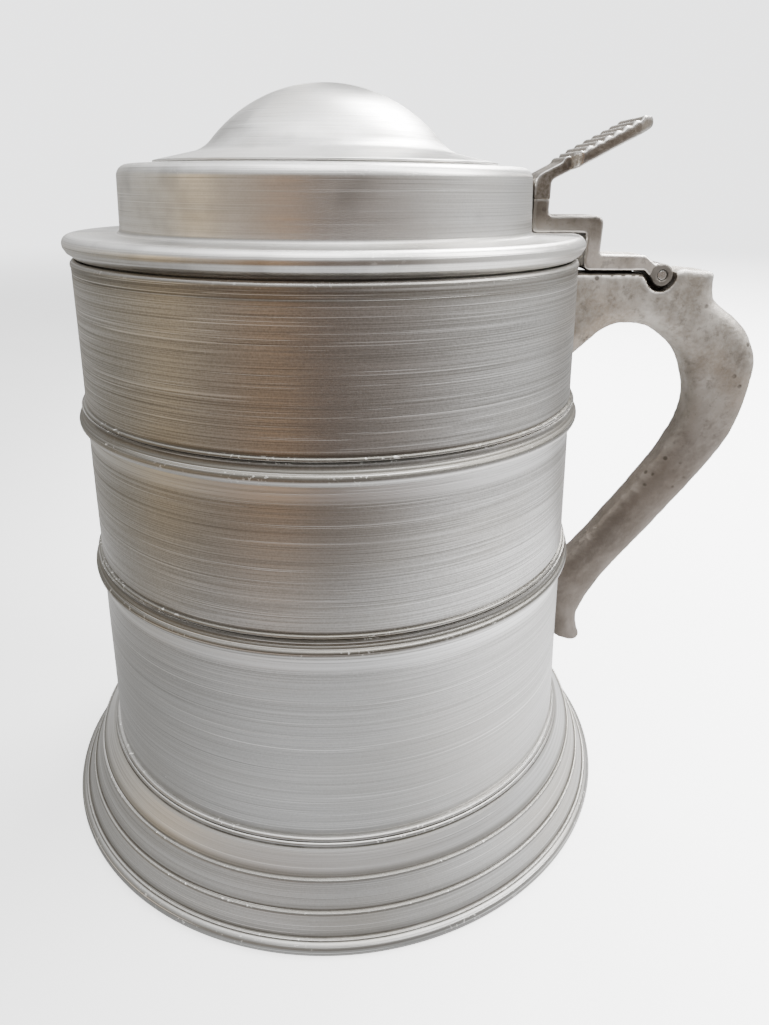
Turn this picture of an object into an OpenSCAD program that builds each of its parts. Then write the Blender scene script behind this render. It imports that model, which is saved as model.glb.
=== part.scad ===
// Large lidded pewter tankard. Millimetres, +Z up. The origin is the centre of
// the face that it stands on, the body's axis is Z and the handle lies on +X.

/* [Body] */
// Height of the body's rim above the standing face
body_top = 198.8; // [190:0.2:208]
// Outer radius of the body just under its rim
rim_r = 80.3; // [78:0.1:82]
// Outer radius of the body where it enters the foot
waist_r = 87.8; // [86:0.1:89]
// Thickness of the body's wall
wall_t = 2.4; // [1.8:0.1:3]
// Radius of the rounded bead that finishes the rim
rim_bead = 1.5; // [1.3:0.1:1.8]
// Thickness of the bottom disc
bottom_t = 2.4; // [1.6:0.1:3.2]
// Height of the bottom disc's upper face
bottom_z = 22; // [20:0.5:23]

/* [Bands] */
// Height of the large bead's centre on the upper band
upper_band_z = 150.5; // [140:0.5:158]
// Height of the large bead's centre on the lower band
lower_band_z = 99.1; // [92:0.1:112]
// Radius of each band's large bead
band_bead = 1.9; // [1.5:0.1:2.2]

/* [Foot] */
// Radius of the rolled rim that the tankard stands on
base_r = 106.3; // [105:0.1:109]
// Height of the foot's collar round the body
foot_h = 32.1; // [31:0.1:34]
// Radius of the concave flare above each step
flare_r = 2.2; // [1.6:0.1:2.6]

/* [Lid] */
// Largest radius of the lid's flange
flange_r = 82; // [81:0.1:84]
// Height of the flange's outer edge
flange_h = 6.4; // [5.6:0.1:7.5]
// Gap between the closed lid and the body's rim
lid_gap = 0.4; // [0.3:0.1:0.6]
// Outer radius of the drum at its foot
drum_r = 65.2; // [64:0.1:65.4]
// Height of the drum above the flange
drum_h = 18.9; // [17:0.1:21]
// Radius of the dome's brim
brim_r = 53.6; // [52:0.1:56]
// Radius of the dome's spherical crown
dome_r = 48.2; // [47:0.1:50]
// Height of the dome's top above the drum
dome_h = 23.1; // [22:0.1:24]
// Radius of the lid's bezel, the ring that drops into the mouth
bezel_r = 76.9; // [76:0.1:77]
// Depth of the bezel below the flange
bezel_h = 6; // [4:0.5:7]

/* [Hinge] */
// Width of the hinge strap and its knuckles
strap_w = 15; // [13:0.5:16]
// Thickness of the hinge strap where it wraps the lid
strap_t = 5.3; // [4.8:0.1:5.6]
// Distance of the hinge pin from the body's axis
pin_x = 111.5; // [110:0.1:113]
// Diameter of the hinge pin
pin_d = 3.2; // [2.6:0.1:3.4]
// Radial clearance of the pin in the handle's lug
pin_clearance = 0.05; // [0.02:0.01:0.1]
// Radius of each hinge knuckle
knuckle_r = 3.7; // [3.5:0.1:3.9]
// Width of the handle's middle lug
lug_w = 4.9; // [4:0.1:5.5]

/* [Thumbpiece] */
// Width of the thumb plate
thumb_w = 23; // [18:0.5:26]
// Length of the thumb plate along its slope
thumb_len = 34.5; // [28:0.5:36]
// Slope of the thumb plate
thumb_slope = 27; // [22:0.5:30]
// Number of ridges across the thumb plate
ridges = 9; // [6:1:9]

/* [Handle] */
// Width of the handle at the hinge
handle_w = 16; // [15.5:0.5:18]
// Width of the handle at its tail
tail_w = 12.5; // [10:0.5:14]

/* [Hidden] */
$fn = 96;
pewter = [0.55, 0.55, 0.54];
bright = [0.72, 0.72, 0.72];
cast_grey = [0.50, 0.48, 0.45];
taper = (waist_r - rim_r) / (body_top - foot_h);
flange_z = body_top + lid_gap;
flange_top = flange_z + flange_h;
drum_top = flange_top + drum_h;
drum_wall = 2.2;
dome_top = drum_top + dome_h;
pin_z = flange_z - 6.8;
strap_x = drum_r + 0.2;
strap_low_z = pin_z + 1.4;
strap_low_t = 5.3;
seam_z = flange_top + 10;
seat_r = 5.6;
joint_gap = 0.35;

// Outer radius of the body's wall at height z
function wall_r(z) = rim_r + (body_top - z) * taper;

// Points of an arc round [x, y], from angle a0 to a1
function arc(x, y, r, a0, a1, n = 8) =
    [for (i = [0:n]) let(a = a0 + (a1 - a0) * i / n) [x + r * cos(a), y + r * sin(a)]];

function unit(v) = v / norm(v);

// Shorter way round between two angles
function turn(a) = a > 180 ? a - 360 : a < -180 ? a + 360 : a;

// Arc of radius r that rounds corner b of the path a, b, c
function corner(a, b, c, r, n) =
    r <= 0 ? [b] :
    let(u = unit(a - b), v = unit(c - b), half = acos(u * v) / 2,
        m = b + unit(u + v) * r / sin(half),
        s = b + u * r / tan(half) - m, e = b + v * r / tan(half) - m,
        a0 = atan2(s[1], s[0]), sweep = turn(atan2(e[1], e[0]) - a0))
    arc(m[0], m[1], r, a0, a0 + sweep, n);

// Closed outline through corners given as [x, y, radius]
function rounded(p, n = 6) =
    let(k = len(p), xy = [for (q = p) [q[0], q[1]]])
    [for (i = [0:k - 1]) each corner(xy[(i + k - 1) % k], xy[i], xy[(i + 1) % k], p[i][2], n)];

// Smooth curve through the points p (Catmull-Rom), n steps between neighbours
function curve(p, n = 5) =
    let(k = len(p) - 1)
    [for (i = [0:k - 1]) let(a = p[max(i - 1, 0)], b = p[i], c = p[i + 1], d = p[min(i + 2, k)])
        for (j = [0:n - 1]) let(t = j / n)
            b + 0.5 * t * ((c - a) + t * ((2 * a - 5 * b + 4 * c - d) + t * (3 * b - a - 3 * c + d))),
     p[k]];

// Solid of an outline drawn in X and Z, w wide and centred on Y
module side_plate(outline, w) {
    translate([0, w / 2, 0]) rotate([90, 0, 0]) linear_extrude(w) polygon(outline);
}

// Cylinder along Y between two distances, at [x, z]
module y_cylinder(x, z, r, y0, y1) {
    translate([x, y1, z]) rotate([90, 0, 0]) cylinder(r = r, h = y1 - y0);
}

module body_wall() {
    bead_z = body_top - rim_bead;
    color(pewter) rotate_extrude() polygon(concat(
        [[wall_r(bottom_z) - wall_t, bottom_z], [wall_r(bottom_z), bottom_z], [wall_r(bead_z), bead_z - 1]],
        arc(rim_r - 1.2, bead_z, rim_bead, -20, 180, 10),
        [[rim_r - wall_t, bead_z - 1]]));
}

module bottom_disc() {
    color(pewter) translate([0, 0, bottom_z - bottom_t]) cylinder(r = wall_r(bottom_z), h = bottom_t);
}

// Band soldered round the wall: a large bead, a hollow above it and a fine bead
module band(z) {
    fine = 0.55;
    low = z - band_bead;
    high = z + 5.7;
    color(bright) rotate_extrude() polygon(concat(
        [[wall_r(low), low]],
        arc(wall_r(z) + 0.5, z, band_bead, -90, 60),
        arc(wall_r(z + 3.5) + 2.4, z + 3.4, 1.6, 225, 135),
        arc(wall_r(z + 5.1) + 0.6, z + 5.1, fine, -60, 90),
        [[wall_r(high), high]]));
}

// One step of the foot: a steep face that flares out to the lip of the next step
function foot_step(r0, z0, r1, z1) = concat(
    [[r0, z0]],
    arc(r1, z1 + flare_r, flare_r, 200, 270, 5),
    arc(r1, z1 - 0.4, 0.4, 90, -60, 4));

module foot_ring() {
    top_bead = 1.8;
    roll = 2.6;
    collar_low = bottom_z - bottom_t;
    color(pewter) rotate_extrude() polygon(concat(
        [[wall_r(foot_h), foot_h]],
        arc(wall_r(foot_h) + 1.1, foot_h - top_bead, top_bead, 90, -60),
        foot_step(base_r - 15.1, 28.3, base_r - 10.4, 22.1),
        foot_step(base_r - 9.9, 21.3, base_r - 6.1, 12.9),
        foot_step(base_r - 5.5, 12.3, base_r - 2.4, 5.8),
        arc(base_r - roll, roll, roll, 75, -60),
        [[base_r - 1.6, 0], [base_r - 4.6, 0], [base_r - 5, 3.6], [base_r - 8.8, 10.6],
         [base_r - 13.5, collar_low], [wall_r(bottom_z), collar_low], [wall_r(bottom_z), bottom_z]]));
}

// Cone of the wall's own outer surface, to fit a part against it
module wall_cone(z0, z1) {
    translate([0, 0, z0]) cylinder(r1 = wall_r(z0), r2 = wall_r(z1), h = z1 - z0);
}

handle_outer = curve([[131.2, 187.8], [132.2, 184.6], [136.2, 181.2], [142.8, 176.8], [149.2, 169], [152, 158],
                      [147, 133], [127, 103], [107, 76], [99.5, 61], [99, 54], [101.5, 47]]);
handle_inner = curve([[84, 75], [93, 86.5], [104, 100.5], [124, 129.5], [130, 148], [124, 165],
                      [113, 174], [103, 176], [94, 173.5], [78, 159]]);

module handle() {
    lug = [-lug_w / 2, lug_w / 2];
    top = rounded([[78, 192.6, 0], [104.6, 192.6, 1.5], [108, 189.6, 0], [114, 189, 0], [116, 193.2, 0.8],
                   [119, 194.4, 0.8], [129, 193.6, 0.8], [131.6, 190.8, 1]]);
    tail = [[97, 44.8], [92, 46.2], [89.6, 48.5], [88.4, 56], [85, 62]];
    color(cast_grey) difference() {
        intersection() {
            union() {
                side_plate(concat(top, handle_outer, tail, handle_inner), 2 * handle_w);
                y_cylinder(pin_x, pin_z, knuckle_r, lug[0], lug[1]);
                translate([pin_x - 3.5, lug[0], 186]) cube([8, lug_w, pin_z - 186]);
            }
            // width across the handle, narrowing to the tail
            translate([70, 0, 0]) rotate([90, 0, 90]) linear_extrude(90) polygon([
                [-handle_w / 2, 200], [-handle_w / 2, 150], [-tail_w / 2, 44],
                [tail_w / 2, 44], [handle_w / 2, 150], [handle_w / 2, 200]]);
        }
        wall_cone(40, body_top);
        y_cylinder(pin_x, pin_z, pin_d / 2 + pin_clearance, -handle_w, handle_w);
        for (side = [[-handle_w, lug[0]], [lug[1], handle_w]])
            y_cylinder(pin_x, pin_z, seat_r, side[0], side[1]);
    }
}

module lid_flange() {
    edge = 2.6;
    web = 2.4;
    lip_r = bezel_r - 1.8;
    color(bright) rotate_extrude() polygon(concat(
        [[lip_r, flange_z]],
        arc(flange_r - 3.1, flange_z + 0.4, 0.4, -90, -20, 4),
        [[flange_r - 0.9, flange_z + 1.6]],
        arc(flange_r - edge, flange_top - edge, edge, -20, 90),
        [[drum_r - drum_wall, flange_top], [drum_r - drum_wall, flange_top - web], [lip_r, flange_top - web]]));
}

module lid_drum() {
    fillet = 1.5;
    shoulder = 3.6;
    lean = 0.9;
    opening_r = 39;
    top_r = drum_r - lean - shoulder;
    color(bright) rotate_extrude() polygon(concat(
        arc(drum_r + fillet, flange_top + fillet, fillet, 270, 180),
        arc(top_r, drum_top - shoulder, shoulder, 0, 90),
        [[opening_r, drum_top], [opening_r, drum_top - drum_wall]],
        arc(top_r, drum_top - shoulder, shoulder - drum_wall, 90, 0, 4),
        [[drum_r - drum_wall, flange_top]]));
}

module lid_dome() {
    skin = 2;
    seat = 0.5;
    sweep_r = 11.5;
    crown_z = dome_top - dome_r;
    sweep_z = drum_top + 3.4 + sweep_r;
    sweep_x = sqrt(pow(dome_r + sweep_r, 2) - pow(sweep_z - crown_z, 2));
    meet = atan2(sweep_z - crown_z, sweep_x);
    inner_r = dome_r - skin;
    color(bright) rotate_extrude() polygon(concat(
        [[brim_r - 1, drum_top], [brim_r - 0.6, drum_top + seat]],
        arc(brim_r - 0.35, drum_top + seat + 0.35, 0.35, -90, 80, 5),
        arc(sweep_x, sweep_z, sweep_r, 257, 180 + meet),
        arc(0, crown_z, dome_r, meet, 90, 16),
        arc(0, crown_z, inner_r, 90, asin((drum_top - crown_z) / inner_r), 16)));
}

module lid_bezel() {
    ring = 1.8;
    color(pewter) rotate_extrude() polygon([
        [bezel_r - ring, flange_z - bezel_h], [bezel_r - 0.4, flange_z - bezel_h],
        [bezel_r, flange_z - bezel_h + 0.8], [bezel_r, flange_z], [bezel_r - ring, flange_z]]);
}

// Stepped strap that follows the drum and the flange, with two outer knuckles
module hinge_strap() {
    step_x = flange_r + 1.9;
    run_x = pin_x - 6.5;
    low_top = strap_low_z + strap_low_t;
    seat_z = flange_top;
    outline = rounded([
        [strap_x, seam_z, 0], [strap_x, seat_z, 2], [step_x, seat_z, 1], [step_x, strap_low_z, 2.5],
        [pin_x - 2, strap_low_z, 0], [pin_x, pin_z, 0], [pin_x, pin_z + knuckle_r, 0],
        [pin_x - 3, pin_z + knuckle_r, 1], [run_x, low_top - 0.4, 1], [step_x + strap_t, low_top, 1],
        [step_x + strap_t, seat_z + strap_t, 2.5], [strap_x + strap_t, seat_z + strap_t, 1.5],
        [strap_x + strap_t, seam_z, 0]]);
    color(cast_grey) difference() {
        union() {
            side_plate(outline, strap_w);
            y_cylinder(pin_x, pin_z, knuckle_r, -strap_w / 2, strap_w / 2);
        }
        // room for the handle's lug between the knuckles
        translate([pin_x - knuckle_r - 1.2, -lug_w / 2 - joint_gap, pin_z - 10])
            cube([20, lug_w + 2 * joint_gap, 20]);
        y_cylinder(pin_x, pin_z, pin_d / 2, -strap_w, strap_w);
    }
}

// Ridged plate that the thumb presses, bent back from the strap's riser
module thumbpiece() {
    plate_t = 3.4;
    ridge_r = 1.5;
    ridge_out = 0.6;
    bend_x = strap_x + strap_t;
    bend_z = seam_z + 5.6;
    along = [cos(thumb_slope), sin(thumb_slope)];
    up = [-sin(thumb_slope), cos(thumb_slope)];
    bend = [bend_x, bend_z];
    tip = bend + thumb_len * along;
    tip_top = tip + plate_t * up;
    back = bend + plate_t * up - along * (bend_x - strap_x - plate_t * sin(thumb_slope)) / cos(thumb_slope);
    outline = rounded([[strap_x, seam_z, 0], [bend_x, seam_z, 0], [bend[0], bend[1], 1.5],
                       [tip[0], tip[1], 1.2], [tip_top[0], tip_top[1], 1.4], [back[0], back[1], 4]]);
    plan = rounded([[strap_x - 1, -strap_w / 2, 0], [bend_x + 5.5, -strap_w / 2, 1],
                    [bend_x + 7.5, -thumb_w / 2, 2], [tip[0] + 0.6, -thumb_w / 2, 8],
                    [tip[0] + 0.6, thumb_w / 2, 8], [bend_x + 7.5, thumb_w / 2, 2],
                    [bend_x + 5.5, strap_w / 2, 1], [strap_x - 1, strap_w / 2, 0]]);
    pitch = (thumb_len - 6.5) / ridges;
    color(cast_grey) intersection() {
        union() {
            side_plate(outline, thumb_w);
            for (i = [0:ridges - 1]) {
                c = bend + along * (5 + pitch * (i + 0.5)) + up * (plate_t + ridge_out - ridge_r);
                y_cylinder(c[0], c[1], ridge_r, -thumb_w / 2, thumb_w / 2);
            }
        }
        translate([0, 0, seam_z]) linear_extrude(60) polygon(plan);
    }
}

module hinge_pin() {
    sunk = 0.4;
    half = strap_w / 2 - sunk;
    color(bright) y_cylinder(pin_x, pin_z, pin_d / 2, -half, half);
}

body_wall();
bottom_disc();
band(upper_band_z);  // upper_band
band(lower_band_z);  // lower_band
foot_ring();
handle();
lid_flange();
lid_drum();
lid_dome();
lid_bezel();
hinge_strap();
thumbpiece();
hinge_pin();
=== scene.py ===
import math

import bmesh
import bpy
import numpy as np
from mathutils import Matrix, Vector, noise


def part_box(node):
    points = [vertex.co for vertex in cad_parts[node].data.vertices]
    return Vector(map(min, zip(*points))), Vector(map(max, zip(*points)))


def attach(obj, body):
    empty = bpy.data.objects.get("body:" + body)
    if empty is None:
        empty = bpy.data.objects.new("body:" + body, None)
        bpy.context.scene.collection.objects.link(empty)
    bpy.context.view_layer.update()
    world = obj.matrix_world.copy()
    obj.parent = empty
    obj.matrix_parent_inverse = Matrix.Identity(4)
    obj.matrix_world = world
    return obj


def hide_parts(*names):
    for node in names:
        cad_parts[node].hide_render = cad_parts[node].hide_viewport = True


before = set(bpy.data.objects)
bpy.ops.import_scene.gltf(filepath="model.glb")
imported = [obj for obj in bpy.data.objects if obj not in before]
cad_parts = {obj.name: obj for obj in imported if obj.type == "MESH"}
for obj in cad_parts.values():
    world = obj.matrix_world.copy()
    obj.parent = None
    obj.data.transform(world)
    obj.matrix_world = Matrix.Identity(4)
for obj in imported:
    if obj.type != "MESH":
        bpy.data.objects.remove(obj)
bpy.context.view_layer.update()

# Lidded pewter tankard. Shapes are worked out in millimetres and scaled to
# metres when a mesh is made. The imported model's boxes give the main sizes.

MM = 0.001


def low(node, axis):
    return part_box(node)[0][axis] / MM


def high(node, axis):
    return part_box(node)[1][axis] / MM


# Main sizes, from the frame
BODY_TOP = high("body_wall", 2)
BODY_LOW = low("body_wall", 2)
FOOT_H = high("foot_ring", 2)
BASE_R = high("foot_ring", 1)
FLANGE_Z = low("lid_flange", 2)
FLANGE_TOP = low("lid_drum", 2)
FLANGE_R = high("lid_flange", 1)
DRUM_TOP = high("lid_drum", 2)
DOME_TOP = high("lid_dome", 2)
DISC_R = high("bottom_disc", 1)
DISC_LOW = low("bottom_disc", 2)
BAND_BEAD_R = 1.9
UPPER_BAND = low("upper_band", 2) + BAND_BEAD_R     # height of the large bead's centre
LOWER_BAND = low("lower_band", 2) + BAND_BEAD_R
BANDS = {"upper_band": UPPER_BAND, "lower_band": LOWER_BAND}
BEZEL_R = high("lid_bezel", 1)
STRAP_W = high("hinge_strap", 1) - low("hinge_strap", 1)
STRAP_X = low("hinge_strap", 0)
SEAM_Z = high("hinge_strap", 2)
THUMB_W = high("thumbpiece", 1) - low("thumbpiece", 1)
PIN_X = (low("hinge_pin", 0) + high("hinge_pin", 0)) / 2
PIN_Z = (low("hinge_pin", 2) + high("hinge_pin", 2)) / 2
PIN_R = (high("hinge_pin", 0) - low("hinge_pin", 0)) / 2
PIN_HALF = high("hinge_pin", 1)
STRAP_GAP = 0.2
DRUM_R = STRAP_X - STRAP_GAP

# Sizes that the boxes do not give
KNUCKLE_R = 3.7
LUG_W = 4.9
WALL_T = 2.4
# the wall is a cone, narrow under the rim and wider where it enters the foot
WALL_TOP_R = 80.3
WALL_FOOT_R = 87.8
TAPER = (WALL_FOOT_R - WALL_TOP_R) / (BODY_TOP - FOOT_H)


def wall_r(z):
    return WALL_TOP_R + (BODY_TOP - z) * TAPER


# ---------------------------------------------------------------- outlines

def arc(x, y, r, a0, a1, n=10):
    """Points round the centre (x, y), from a0 to a1 degrees."""
    turn = [math.radians(a0 + (a1 - a0) * i / n) for i in range(n + 1)]
    return [(x + r * math.cos(a), y + r * math.sin(a)) for a in turn]


def rounded(corners, n=6):
    """Closed outline through (x, y, radius) corners."""
    out = []
    for i, (x, y, r) in enumerate(corners):
        b = Vector((x, y))
        if r <= 0:
            out.append(tuple(b))
            continue
        u = (Vector(corners[i - 1][:2]) - b).normalized()
        v = (Vector(corners[(i + 1) % len(corners)][:2]) - b).normalized()
        half = math.acos(max(-1.0, min(1.0, u.dot(v)))) / 2
        mid = b + (u + v).normalized() * (r / math.sin(half))
        s, e = b + u * (r / math.tan(half)) - mid, b + v * (r / math.tan(half)) - mid
        a0, a1 = math.degrees(math.atan2(s.y, s.x)), math.degrees(math.atan2(e.y, e.x))
        sweep = (a1 - a0 + 180) % 360 - 180
        out += arc(mid.x, mid.y, r, a0, a0 + sweep, n)
    return out


def curve(points, n=8):
    """Smooth curve through the points (Catmull-Rom)."""
    p = [Vector(q) for q in points]
    k = len(p) - 1
    out = []
    for i in range(k):
        a, b, c, d = p[max(i - 1, 0)], p[i], p[i + 1], p[min(i + 2, k)]
        for j in range(n):
            t = j / n
            q = b + 0.5 * t * ((c - a) + t * ((2 * a - 5 * b + 4 * c - d) + t * (3 * b - a - 3 * c + d)))
            out.append((q.x, q.y))
    return out + [tuple(p[k])]


CORNER_MARKS = (0.25, 0.6, 1.1, 1.8)        # where extra points go, in mm from a corner


def dense(outline, step):
    """The same closed outline with points close together next to its corners."""
    short_edge, long_edge, margin = 0.7, 4.5, CORNER_MARKS[-1]
    out = []
    for i, a in enumerate(outline):
        b = outline[(i + 1) % len(outline)]
        length = math.dist(a, b)
        marks = [0.0]
        if length > short_edge:
            near = [m for m in CORNER_MARKS if m < length * 0.45]
            marks += near
            if length > long_edge:
                middle = length - 2 * margin
                count = int(middle / step) + 1
                marks += [margin + middle * j / count for j in range(1, count)]
            marks += [length - m for m in reversed(near)]
        for m in marks:
            t = m / length if length else 0
            out.append((a[0] + (b[0] - a[0]) * t, a[1] + (b[1] - a[1]) * t))
    return out


def crest_of(points):
    """How far each point of a closed outline stands out (+) or lies in (-)."""
    reach = 0.7                             # mm to either side that a point is compared with
    p = np.array(points)
    q = np.vstack([p, p[:1]])
    s = np.concatenate([[0], np.hypot(*np.diff(q, axis=0).T).cumsum()])

    def at(t):
        t = t % s[-1]
        return np.stack([np.interp(t, s, q[:, 0]), np.interp(t, s, q[:, 1])], 1)

    a, b = at(s[:-1] - reach), at(s[:-1] + reach)
    tangent = (b - a) / np.maximum(np.linalg.norm(b - a, axis=1, keepdims=True), 1e-9)
    area = (p[:, 0] * np.roll(p[:, 1], -1) - np.roll(p[:, 0], -1) * p[:, 1]).sum()
    normal = np.stack([tangent[:, 1], -tangent[:, 0]], 1) * np.sign(area)
    return ((p - (a + b) / 2) * normal).sum(1) / reach


# ---------------------------------------------------------------- meshes

def new_object(name, bm_or_mesh):
    mesh = bm_or_mesh
    if isinstance(bm_or_mesh, bmesh.types.BMesh):
        mesh = bpy.data.meshes.new(name)
        bm_or_mesh.to_mesh(mesh)
        bm_or_mesh.free()
    obj = bpy.data.objects.new(name, mesh)
    bpy.context.scene.collection.objects.link(obj)
    return obj


def smooth(obj, angle=38):
    obj.data.polygons.foreach_set("use_smooth", [True] * len(obj.data.polygons))
    obj.data.set_sharp_from_angle(angle=math.radians(angle))
    return obj


def lathe(name, outline, segments=360, step=3.0, uneven=0.0, seed=0.0):
    """Turned piece: a closed (radius, height) outline in mm, round the Z axis.
    uneven is how far, in mm, its surface swells in and out."""
    swells, swell_h, slant = 2.2, 34, 0.6
    points = dense(outline, step)
    crest = crest_of(points)
    n = len(points)
    r = np.array([p[0] for p in points])
    z = np.array([p[1] for p in points])
    bm = bmesh.new()
    layer = bm.verts.layers.float.new("crest")
    rings = []
    for k in range(segments):
        a = 2 * math.pi * k / segments
        c, s = math.cos(a), math.sin(a)
        ring = []
        for i in range(n):
            rr = r[i]
            if uneven and rr > 1:
                at = Vector((c * swells + seed, s * swells, (z[i] + rr * slant) / swell_h))
                rr += uneven * noise.noise(at)
            v = bm.verts.new((rr * c * MM, rr * s * MM, z[i] * MM))
            v[layer] = crest[i]
            ring.append(v)
        rings.append(ring)
    for k in range(segments):
        a, b = rings[k], rings[(k + 1) % segments]
        for i in range(n):
            j = (i + 1) % n
            if r[i] < 1e-6 and r[j] < 1e-6:
                continue
            bm.faces.new((a[i], b[i], b[j], a[j]))
    bmesh.ops.remove_doubles(bm, verts=bm.verts, dist=1e-7)
    bmesh.ops.recalc_face_normals(bm, faces=bm.faces)
    return smooth(new_object(name, bm))


def plate(name, outline, half_width):
    """Plate with an (x, z) outline in mm, as far to each side along Y as half_width(z) says."""
    bm = bmesh.new()
    sides = []
    for sign in (-1, 1):
        sides.append([bm.verts.new((x * MM, sign * half_width(z) * MM, z * MM)) for x, z in outline])
    front, back = sides
    bm.faces.new(front)
    bm.faces.new(back)
    for i in range(len(outline)):
        j = (i + 1) % len(outline)
        bm.faces.new((front[i], front[j], back[j], back[i]))
    bmesh.ops.recalc_face_normals(bm, faces=bm.faces)
    return new_object(name, bm)


def rod(name, x, z, r, y0, y1, segments=72):
    """Cylinder along Y, in mm, for joining to a piece or cutting it."""
    bm = bmesh.new()
    turn = Matrix.Translation((x * MM, (y0 + y1) / 2 * MM, z * MM)) @ Matrix.Rotation(math.pi / 2, 4, "X")
    bmesh.ops.create_cone(bm, cap_ends=True, segments=segments, radius1=r * MM, radius2=r * MM,
                          depth=(y1 - y0) * MM, matrix=turn)
    return new_object(name, bm)


def block(name, lo, hi):
    """Box between two corners in mm, for joining to a piece or cutting it."""
    bm = bmesh.new()
    size = [(b - a) * MM for a, b in zip(lo, hi)]
    mid = [(a + b) / 2 * MM for a, b in zip(lo, hi)]
    bmesh.ops.create_cube(bm, size=1, matrix=Matrix.Translation(mid) @ Matrix.Diagonal((*size, 1)))
    return new_object(name, bm)


def bake(obj):
    """Turns the object's modifiers into its mesh."""
    bpy.context.view_layer.update()
    graph = bpy.context.evaluated_depsgraph_get()
    mesh = bpy.data.meshes.new_from_object(obj.evaluated_get(graph), depsgraph=graph)
    old = obj.data
    obj.modifiers.clear()
    obj.data = mesh
    bpy.data.meshes.remove(old)
    return obj


def modify(obj, kind, **settings):
    """Adds one modifier and bakes it."""
    m = obj.modifiers.new(kind.lower(), kind)
    for key, value in settings.items():
        setattr(m, key, value)
    return bake(obj)


def drop(obj):
    mesh = obj.data
    bpy.data.objects.remove(obj)
    bpy.data.meshes.remove(mesh)


def round_edges(obj, width, segments=3):
    return modify(obj, "BEVEL", width=width * MM, segments=segments, limit_method="ANGLE",
                  angle_limit=math.radians(50))


def remesh(obj, voxel):
    return modify(obj, "REMESH", mode="VOXEL", voxel_size=voxel * MM)


def boolean(obj, other, operation="DIFFERENCE"):
    modify(obj, "BOOLEAN", operation=operation, solver="EXACT", object=other)
    drop(other)
    return obj


def join(obj, *others):
    bm = bmesh.new()
    for o in (obj, *others):
        bm.from_mesh(o.data)
    bm.to_mesh(obj.data)
    bm.free()
    for o in others:
        drop(o)
    return obj


def vectors(mesh, key):
    """Every vertex's co or normal, as rows of an array."""
    values = np.zeros(len(mesh.vertices) * 3, np.float32)
    mesh.vertices.foreach_get(key, values)
    return values.reshape(-1, 3)


def cast(obj, voxel, softening, rough, scale, seed):
    """Even, softened and slightly uneven skin of a casting, with its crest attribute."""
    wide_rounds, fine_rounds, crest_gain = 12, 2, 0.6
    falloff, frequency, octaves = 0.6, 2.1, 4
    remesh(obj, voxel)
    modify(obj, "SMOOTH", factor=0.5, iterations=softening)
    mesh = obj.data
    n = len(mesh.vertices)
    co = vectors(mesh, "co").astype(float)
    normal = vectors(mesh, "normal")
    edges = np.zeros(len(mesh.edges) * 2, np.int32)
    mesh.edges.foreach_get("vertices", edges)
    a, b = edges.reshape(-1, 2).T
    count = np.maximum(np.bincount(a, minlength=n) + np.bincount(b, minlength=n), 1)[:, None]

    def average(values):
        total = np.zeros_like(values)
        np.add.at(total, a, values[b])
        np.add.at(total, b, values[a])
        return total / count

    spread = co.copy()
    for _ in range(wide_rounds):
        spread = average(spread)
    crest = ((co - spread) * normal).sum(1, keepdims=True) / (voxel * MM) * crest_gain
    for _ in range(fine_rounds):
        crest = average(crest)
    shift = Vector((seed, 0, 0))
    lift = np.array([noise.fractal(Vector(p * 1000 / scale) + shift, falloff, frequency, octaves)
                     for p in co])
    co = co + normal * (lift * rough * MM)[:, None]
    mesh.vertices.foreach_set("co", co.astype(np.float32).ravel())
    layer = mesh.attributes.new("crest", "FLOAT", "POINT")
    layer.data.foreach_set("value", crest.astype(np.float32).ravel())
    mesh.update()
    return smooth(obj, 60)


AS_IT_IS = 9.0                              # a limit above every crest


def limit_grime_and_shade(obj, limit_at):
    """Limits the crest attribute, which draws the grimy hollows, to limit_at(x, z, normal's z), in mm; a
    limit below zero paints shade there.
    """
    mesh = obj.data
    co = vectors(mesh, "co").astype(float) / MM
    up = vectors(mesh, "normal")[:, 2]
    crest = np.zeros(len(co), np.float32)
    layer = mesh.attributes["crest"].data
    layer.foreach_get("value", crest)
    crest = np.minimum(crest, limit_at(co[:, 0], co[:, 2], up))
    layer.foreach_set("value", crest.astype(np.float32))
    mesh.update()
    return obj


# ---------------------------------------------------------------- materials

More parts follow.
